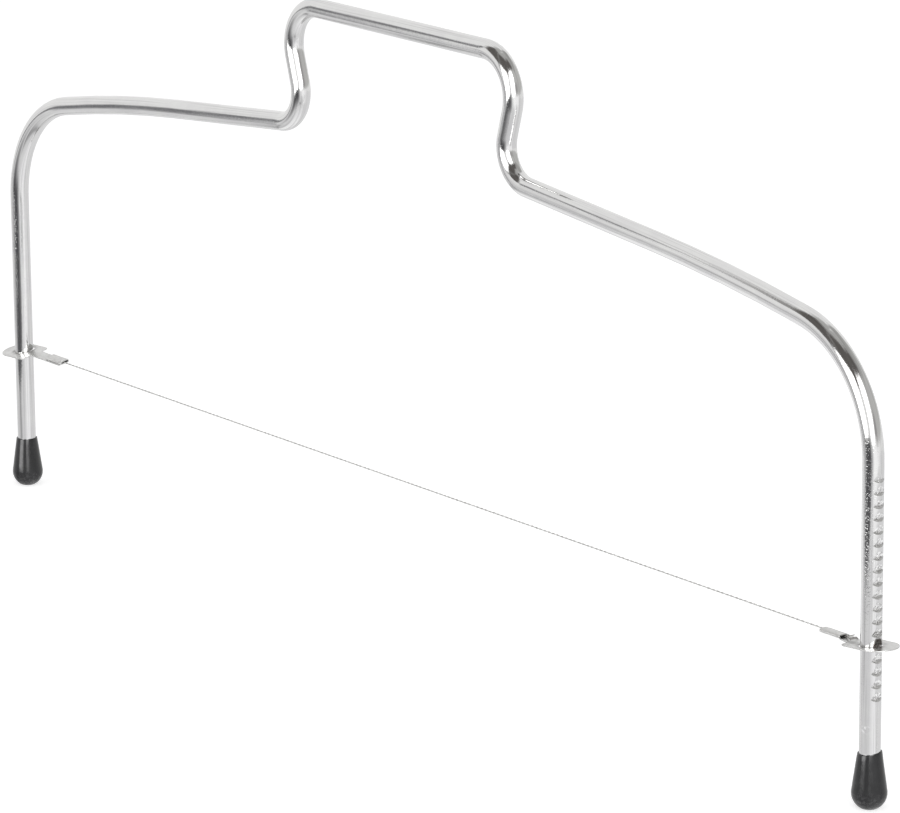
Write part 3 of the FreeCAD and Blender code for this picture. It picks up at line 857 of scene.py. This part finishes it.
def chrome_material():
    """Bright plate over drawn rod: lines along it, a fine peel, filed notches, a scuff, and
    painted shade and highlights at the notches.
    """
    material, tree, shader, place = new_material("bright_chrome", metallic=1.0)
    straight = read_attribute(tree, "straight_rod", "Vector")
    cut = read_attribute(tree, "notch_depth")
    ledge = read_attribute(tree, "notch_ledge")
    slope = read_attribute(tree, "notch_slope")
    parts = separate(tree, place)

    # The peel is strongest on the right leg, above the clips and below the bend.
    on_leg = fade(tree, parts["Z"], 88 * MM, 74 * MM, low=0.25)
    above_clip = fade(tree, parts["Z"], 42 * MM, 56 * MM, low=0.35)
    rougher_right = fade(tree, parts["X"], -LEG_X, LEG_X, low=0.55)
    specks = positive(tree, patches(tree, place, scale=2100.0, low=-1.6))
    peel = times(tree, on_leg, above_clip, specks, rougher_right)
    lines = place_group(tree, LINES, straight, Fineness=1800.0, Shortness=0.02)
    filed = times(tree, cut, patches(tree, place, scale=1500.0))
    raise_surface(
        tree, shader, (lines, DRAWN_LINE_DEPTH), (peel, PEEL_DEPTH), (filed, FILED_DEPTH)
    )

    shine = patches(tree, place, scale=60.0, low=0.06, high=0.11)
    ledge_dullness = times(tree, ledge, 0.2)
    tree.links.new(compute(tree, "ADD", shine, ledge_dullness), shader.inputs["Roughness"])

    colour = blend_colours(tree, patches(tree, place, scale=240.0), PLATE, PLATE_CLOUDED)
    fine_lines = place_group(tree, LINES, straight, Fineness=2600.0, Shortness=0.012)
    colour = blend_colours(tree, fade(tree, fine_lines, 0.5, 0.72), colour, PLATE_STREAK)
    # Painted shade on each notch's ledge, deeper towards its root.
    painted_shade = times(tree, ledge, times(tree, cut, 0.5))
    colour = blend_colours(tree, painted_shade, colour, NOTCH_SHADE)
    # Painted highlight in patches on the notch slopes.
    slope_highlight = times(tree, slope, patches(tree, place, scale=1250.0, low=-0.2, high=1.5))
    colour = blend_colours(tree, slope_highlight, colour, NOTCH_HIGHLIGHT)
    file_marks = times(tree, slope, patches(tree, place, scale=2000.0, low=-0.9))
    colour = blend_colours(tree, file_marks, colour, NOTCH_FILE_MARK)
    # Painted shade of the gap between the right clip and the leg.
    gap_shade = times(
        tree,
        near(tree, place, GAP_SHADE_SPOT, full=1.0 * MM, none=1.9 * MM),
        patches(tree, place, scale=1500.0, low=0.7),
    )
    colour = blend_colours(tree, gap_shade, colour, GAP_SHADE)
    scuff = times(
        tree,
        near(tree, place, SCUFF_SPOT, full=0.3 * MM, none=1.6 * MM),
        patches(tree, place, scale=1300.0, low=-0.6),
    )
    colour = blend_colours(tree, positive(tree, scuff), colour, PLATE_SCUFFED)
    tree.links.new(colour, shader.inputs["Base Color"])
    return material


def foot_material():
    """Moulded black vinyl with a fine skin, scuffed and duller towards the sole."""
    material, tree, shader, place = new_material("black_vinyl", metallic=0.0)
    low_end = fade(tree, separate(tree, place)["Z"], 4.5 * MM, 1.0 * MM, high=0.8)
    scuffs = times(tree, low_end, patches(tree, place, scale=1500.0, low=-0.8))
    scuffs = positive(tree, scuffs)
    black = blend_colours(tree, patches(tree, place, scale=700.0), VINYL, VINYL_GREYED)
    scuffed = blend_colours(tree, scuffs, black, VINYL_SCUFFED)
    tree.links.new(scuffed, shader.inputs["Base Color"])
    gloss = patches(tree, place, scale=900.0, low=0.1, high=0.19)
    dullness = times(tree, low_end, 0.18)
    tree.links.new(compute(tree, "ADD", gloss, dullness), shader.inputs["Roughness"])
    skin = patches(tree, place, scale=2600.0)
    raise_surface(tree, shader, (skin, VINYL_SKIN_DEPTH), (scuffs, VINYL_SCUFF_DEPTH))
    return material


def sheet_material():
    """Satin rolled sheet with its grain along the clip, with painted shade round the leg and a
    painted highlight beside it.
    """
    material, tree, shader, place = new_material("satin_sheet", metallic=1.0)
    turned = add_node(
        tree, "ShaderNodeMapping", {"Vector": place, "Rotation": (0, math.pi / 2, 0)}
    ).outputs[0]
    grain = place_group(tree, LINES, turned, Fineness=5200.0, Shortness=0.04)
    raise_surface(tree, shader, (grain, SHEET_GRAIN_DEPTH))
    roughness = patches(tree, place, scale=500.0, low=0.3, high=0.44)
    tree.links.new(roughness, shader.inputs["Roughness"])
    colour = blend_colours(tree, patches(tree, place, scale=320.0), SHEET_BRIGHT, SHEET_DULL)
    for leg_x in (-LEG_X, LEG_X):
        leg = Vector((leg_x, 0, WIRE_Z))
        round_leg = near(
            tree, place, leg, full=ROD_RADIUS + 0.5 * MM, none=ROD_RADIUS + 1.6 * MM
        )
        # Painted shade of the leg on the plate, in patches round the hole.
        painted_shade = times(tree, round_leg, patches(tree, place, scale=900.0, low=0.2, high=0.9))
        colour = blend_colours(tree, painted_shade, colour, SHEET_CONTACT_SHADE)
        # Painted highlight on the plate beside the leg.
        glint = near(tree, place, leg + GLINT_SPOT, full=0.2 * MM, none=1.1 * MM)
        colour = blend_colours(tree, glint, colour, SHEET_GLINT)
    tree.links.new(colour, shader.inputs["Base Color"])
    return material


def wire_material():
    """Plain bright wire, a little uneven along its strands, with painted shade at its cut ends."""
    material, tree, shader, place = new_material("plain_wire", metallic=1.0)
    roughness = patches(tree, place, scale=800.0, low=0.2, high=0.34)
    tree.links.new(roughness, shader.inputs["Roughness"])
    plain = blend_colours(tree, patches(tree, place, scale=1200.0), WIRE_BRIGHT, WIRE_DULL)
    # Painted shade over the last two millimetres of the strands.
    end_shade = fade(tree, separate(tree, place)["X"], WIRE_END_X - 2 * MM, WIRE_END_X)
    colour = blend_colours(tree, end_shade, plain, WIRE_END_SHADE)
    tree.links.new(colour, shader.inputs["Base Color"])
    return material


def dress(piece, material, body, slot, *nodes):
    """Gives a piece its material and its body, and hides the nodes it stands for; the record slot
    is not used.
    """
    piece.data.materials.clear()
    piece.data.materials.append(material)
    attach(piece, body)
    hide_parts(*nodes)


def direction(azimuth, elevation):
    """Unit vector from the object, azimuth from the front towards the right, both in degrees."""
    turn = math.radians(azimuth)
    rise = math.radians(elevation)
    return Vector(
        (math.sin(turn) * math.cos(rise), -math.cos(turn) * math.cos(rise), math.sin(rise))
    )


def ease(value, start, end):
    """A smooth step from nothing at the start to one at the end."""
    share = min(max((value - start) / (end - start), 0), 1)
    return share * share * (3 - 2 * share)


def seen_ray(tree):
    """One for camera, glossy and transmission rays, which show the white surroundings."""
    path = tree.nodes.new("ShaderNodeLightPath").outputs
    seen = compute(tree, "MAXIMUM", path["Is Camera Ray"], path["Is Glossy Ray"])
    return compute(tree, "MAXIMUM", seen, path["Is Transmission Ray"])


def build_world():
    """White all round where it is seen, and a softer fill as light."""
    world = bpy.data.worlds.new("white_studio")
    world.use_nodes = True
    bpy.context.scene.world = world
    tree = world.node_tree
    backdrop = tree.nodes["Background"]
    backdrop.inputs["Color"].default_value = (*WHITE, 1)
    level = fade(tree, seen_ray(tree), 0.0, 1.0, low=FILL_LEVEL)
    tree.links.new(level, backdrop.inputs["Strength"])


def build_floor():
    """A white table top that keeps the object's shadow."""
    bpy.ops.mesh.primitive_plane_add(size=FLOOR_SIZE, location=(0, 0, FLOOR_Z))
    floor = bpy.context.object
    floor.name = "floor"
    material, tree, shader, _ = new_material("white_table", metallic=0.0)
    shader.inputs["Base Color"].default_value = (0.8, 0.8, 0.8, 1)
    shader.inputs["Roughness"].default_value = 0.9
    shader.inputs["Specular IOR Level"].default_value = 0.0
    shader.inputs["Emission Color"].default_value = (*WHITE, 1)
    glow = times(tree, seen_ray(tree), FLOOR_GLOW)
    tree.links.new(glow, shader.inputs["Emission Strength"])
    floor.data.materials.append(material)
    floor.visible_glossy = False


def card_material(name, shade, strength):
    """A plain glow, stronger or weaker along the card, that fades out where its cover does."""
    material = bpy.data.materials.new(name)
    material.use_nodes = True
    tree = material.node_tree
    tree.nodes.clear()
    bright = times(tree, read_attribute(tree, "level"), strength)
    glow = add_node(tree, "ShaderNodeEmission", {"Color": (*shade, 1), "Strength": bright})
    clear = tree.nodes.new("ShaderNodeBsdfTransparent")
    mix = add_node(
        tree,
        "ShaderNodeMixShader",
        {0: read_attribute(tree, "cover"), 1: clear.outputs[0], 2: glow.outputs[0]},
    )
    output = tree.nodes.new("ShaderNodeOutputMaterial")
    tree.links.new(mix.outputs[0], output.inputs["Surface"])
    return material


def everywhere(across, along):
    """The cover or level of a card that is the same all over."""
    return 1.0


def make_card(name, shade, strength, place, cover=everywhere, level=everywhere):
    """A card that only reflections show; each of its points gets a place, a cover and a level."""
    bpy.ops.mesh.primitive_grid_add(
        x_subdivisions=CARD_STEPS, y_subdivisions=CARD_STEPS, size=1
    )
    card = bpy.context.object
    card.name = name
    card.data.materials.append(card_material(name, shade, strength))
    for kind in ("camera", "diffuse", "transmission", "volume_scatter", "shadow"):
        setattr(card, f"visible_{kind}", False)
    attributes = card.data.attributes
    attributes.new("cover", "FLOAT", "POINT")
    attributes.new("level", "FLOAT", "POINT")
    for vert in card.data.vertices:
        across = vert.co.x + 0.5
        along = vert.co.y + 0.5
        attributes["cover"].data[vert.index].value = cover(across, along)
        attributes["level"].data[vert.index].value = level(across, along)
        vert.co = place(across, along)


def hang_card(name, corners, shade, soft, distance, strength=1.0):
    """A card bent round the object, its corners in azimuth and elevation, with four soft edges."""
    low_left, low_right, high_right, high_left = [Vector(corner) for corner in corners]
    width = (low_right - low_left + high_right - high_left).length / 2
    height = (high_left - low_left + high_right - low_right).length / 2
    soft_left, soft_right, soft_low, soft_high = soft

    def place(across, along):
        low = low_left.lerp(low_right, across)
        spot = low.lerp(high_left.lerp(high_right, across), along)
        return STUDIO_CENTRE + direction(spot.x, spot.y) * distance

    def cover(across, along):
        sides = ease(across * width, 0, soft_left) * ease((1 - across) * width, 0, soft_right)
        ends = ease(along * height, 0, soft_low) * ease((1 - along) * height, 0, soft_high)
        return sides * ends

    make_card(name, shade, strength, place, cover)


def upright(left, right, low, high):
    """The corners of a card with level and upright edges."""
    return (left, low), (right, low), (right, high), (left, high)


def build_cards():
    """The dark and grey things round the table that the rod mirrors."""
    over_left = (-47, 25), (2, 8), (2, 80), (-73, 80)
    over_front = (-14, 8), (56, 36), (56, 80), (-14, 80)
    over_right = upright(44, 140, 43, 80)
    overhead = upright(-180, 180, 66, 89.9)
    side = upright(86, 190, -4, 52)
    back = upright(120, 200, 34, 76)
    edge = (78, 1), (122, 3), (126, 27), (90, 24)
    rim = (-33, -6), (-22, -6), (-2, 30), (-16, 30)
    front = (-60, -42), (70, -42), (52, 3), (-60, -7)
    bright_side = upright(34, 128, -42, 2)
    stand = (-67, -34), (-58.5, -34), (-43.5, 32), (-55, 32)
    # name, corners, shade, how far the left, right, low and high edges fade, and the distance
    cards = (
        ("dark_over_left", over_left, WARM_DARK, (15, 14, 6, 12), 6.0),
        ("dark_over_front", over_front, WARM_DARK, (14, 8, 6, 12), 6.05),
        ("dark_over_right", over_right, WARM_DARK, (9, 26, 9, 14), 6.1),
        ("grey_overhead", overhead, (0.5, 0.5, 0.49), (0.1, 0.1, 12, 0.1), 6.5),
        ("grey_side", side, (0.62, 0.62, 0.61), (8, 8, 8, 8), 6.3),
        ("dull_back", back, (0.45, 0.45, 0.44), (10, 8, 8, 8), 6.2),
        ("dark_edge", edge, (0.43, 0.42, 0.42), (7, 26, 7, 9), 5.8),
        ("dark_rim", rim, (0.28, 0.28, 0.28), (5, 3, 6, 5), 5.75),
        ("dark_front", front, (0.11, 0.11, 0.115), (42, 42, 28, 5), 5.9),
        ("bright_side", bright_side, (1.22, 1.22, 1.23), (30, 34, 12, 8), 6.4),
        ("light_stand", stand, (0.2, 0.2, 0.21), (5, 3, 20, 8), 5.7),
    )
    for card in cards:
        hang_card(*card)


def lay_table(name, leg_x, sink, shadow, shadow_width, shadow_depth, shadow_start):
    """The white table as one leg mirrors it, up to its front edge and with the leg's shadow."""
    leg = Vector((leg_x, 0, -sink))
    edge = TABLE_EDGE - leg.dot(direction(TABLE_FRONT, 0))

    def azimuth_at(across):
        return TABLE_FIRST + (TABLE_LAST - TABLE_FIRST) * across

    def place(across, along):
        azimuth = azimuth_at(across)
        slant = math.cos(math.radians(azimuth - TABLE_FRONT))
        reach = edge / slant if slant > edge / TABLE_SHOWN else TABLE_SHOWN
        return leg + direction(azimuth, 0) * reach * along

    def cover(across, along):
        azimuth = azimuth_at(across)
        to_side = ease(azimuth, *FRONT_TO_SIDE)
        far_fade = (1 - to_side) * ease(along, *FRONT_FADE) + to_side * ease(along, *SIDE_FADE)
        from_first = ease(azimuth - TABLE_FIRST, 0, TABLE_END_FADE)
        to_last = ease(TABLE_LAST - azimuth, 0, TABLE_END_FADE)
        return (1 - far_fade) * from_first * to_last

    def level(across, along):
        azimuth = azimuth_at(across)
        rise = ease(azimuth, *BRIGHTER_FROM) * ease(azimuth, *BRIGHTER_UNTIL)
        shade = ease(abs(azimuth - shadow), shadow_width, 0)
        shade *= ease(along - shadow_start, 0, SHADOW_START_FADE)
        return (1 + BRIGHTER_BY * rise) * (1 - shadow_depth * shade)

    make_card(name, TABLE_SHADE, 1.0, place, cover, level)


def lay_tables():
    """The table near each leg, and all that lies below and beyond it."""
    # name, leg, how far it lies under the other, the shadow's azimuth, width, depth and start
    lay_table("left_table", -LEG_X, 0, -14, 26, 0.5, -1)
    lay_table("right_table", LEG_X, 0.02 * MM, -27, 16, 0.4, 0.35)

    def place(across, along):
        return Vector((BELOW_SIZE * (across - 0.5), BELOW_SIZE * (along - 0.5), BELOW_Z))

    make_card("table_below", BELOW_SHADE, 1.0, place)


def hang_lamp(name, azimuth, elevation):
    """A large soft lamp; its picture in the metal is its softbox card's."""
    data = bpy.data.lights.new(name, "AREA")
    data.energy = LAMP_ENERGY
    data.size = LAMP_SIZE
    lamp = bpy.data.objects.new(name, data)
    bpy.context.scene.collection.objects.link(lamp)
    towards = direction(azimuth, elevation)
    lamp.location = STUDIO_CENTRE + towards * LAMP_DISTANCE
    lamp.rotation_euler = towards.to_track_quat("Z", "Y").to_euler()
    lamp.visible_glossy = False
    lamp.visible_camera = False


def hang_softboxes():
    """Two large soft lights in front, either side of the camera, and their boxes in the metal."""
    left = (-36, -15), (23, -4), (30, 37), (-11, 27)
    right = (39, -5), (79, -1), (101, 54), (41, 43)
    left_middle = (-27, -13), (18, -5), (23, 31), (-8, 22)
    right_middle = (44, -4), (74, -1), (90, 46), (46, 37)
    box = SOFTBOX_DISTANCE, SOFTBOX_STRENGTH
    middle = HOT_MIDDLE_DISTANCE, HOT_MIDDLE_STRENGTH
    hang_card("left_softbox", left, WHITE, (7, 7, 5, 6), *box)
    hang_card("right_softbox", right, WHITE, (8, 12, 6, 7), *box)
    hang_card("left_hot_middle", left_middle, WHITE, (8, 8, 6, 6), *middle)
    hang_card("right_hot_middle", right_middle, WHITE, (8, 8, 6, 6), *middle)
    hang_lamp("left_lamp", azimuth=0, elevation=14)
    hang_lamp("right_lamp", azimuth=70, elevation=24)


def place_camera():
    """The photograph's view, with its slight roll."""
    right = Vector((math.cos(CAMERA_AZIMUTH), math.sin(CAMERA_AZIMUTH), 0))
    back = direction(math.degrees(CAMERA_AZIMUTH), math.degrees(CAMERA_ELEVATION))
    up = back.cross(right)
    side = right * math.cos(CAMERA_ROLL) + up * math.sin(CAMERA_ROLL)
    rise = up * math.cos(CAMERA_ROLL) - right * math.sin(CAMERA_ROLL)
    camera_data = bpy.data.cameras.new("photo_camera")
    camera_data.sensor_fit = "HORIZONTAL"
    camera_data.lens = CAMERA_LENS
    camera = bpy.data.objects.new("photo_camera", camera_data)
    bpy.context.scene.collection.objects.link(camera)
    turn = Matrix((side, rise, back)).transposed().to_4x4()
    camera.matrix_world = Matrix.Translation(CAMERA_AIM + back * CAMERA_DISTANCE) @ turn
    bpy.context.scene.camera = camera


bpy.context.scene.view_settings.view_transform = "Standard"
bpy.ops.object.select_all(action="DESELECT")
place_camera()
build_world()
build_floor()
build_cards()
lay_tables()
hang_softboxes()

chrome = chrome_material()
vinyl = foot_material()
sheet = sheet_material()
steel_wire = wire_material()

dress(bend_frame(), chrome, "frame", "chromed_rod", "frame_rod")
right_foot = mould_foot()
dress(turned_copy(right_foot, "left_plug_foot"), vinyl, "frame", "foot_plug", "left_foot")
lean_rim(right_foot)
dress(right_foot, vinyl, "frame", "foot_plug", "right_foot")
right_clip = stamp_clip()
left_clip = turned_copy(right_clip, "left_wire_clip")
lengthen_left_tab(left_clip)
tip_plate(left_clip, -1, LEFT_PLATE_HINGE_X, LEFT_PLATE_DROOP)
roll_clip(left_clip, LEFT_CLIP_ROLL)
tip_plate(right_clip, 1, RIGHT_PLATE_HINGE_X, RIGHT_PLATE_LIFT)
dress(left_clip, sheet, "left_slider", "clip_sheet", "left_clip")
dress(right_clip, sheet, "right_slider", "clip_sheet", "right_clip")
dress(twist_wire(), steel_wire, "left_slider", "wire_strand", "cutting_wire")
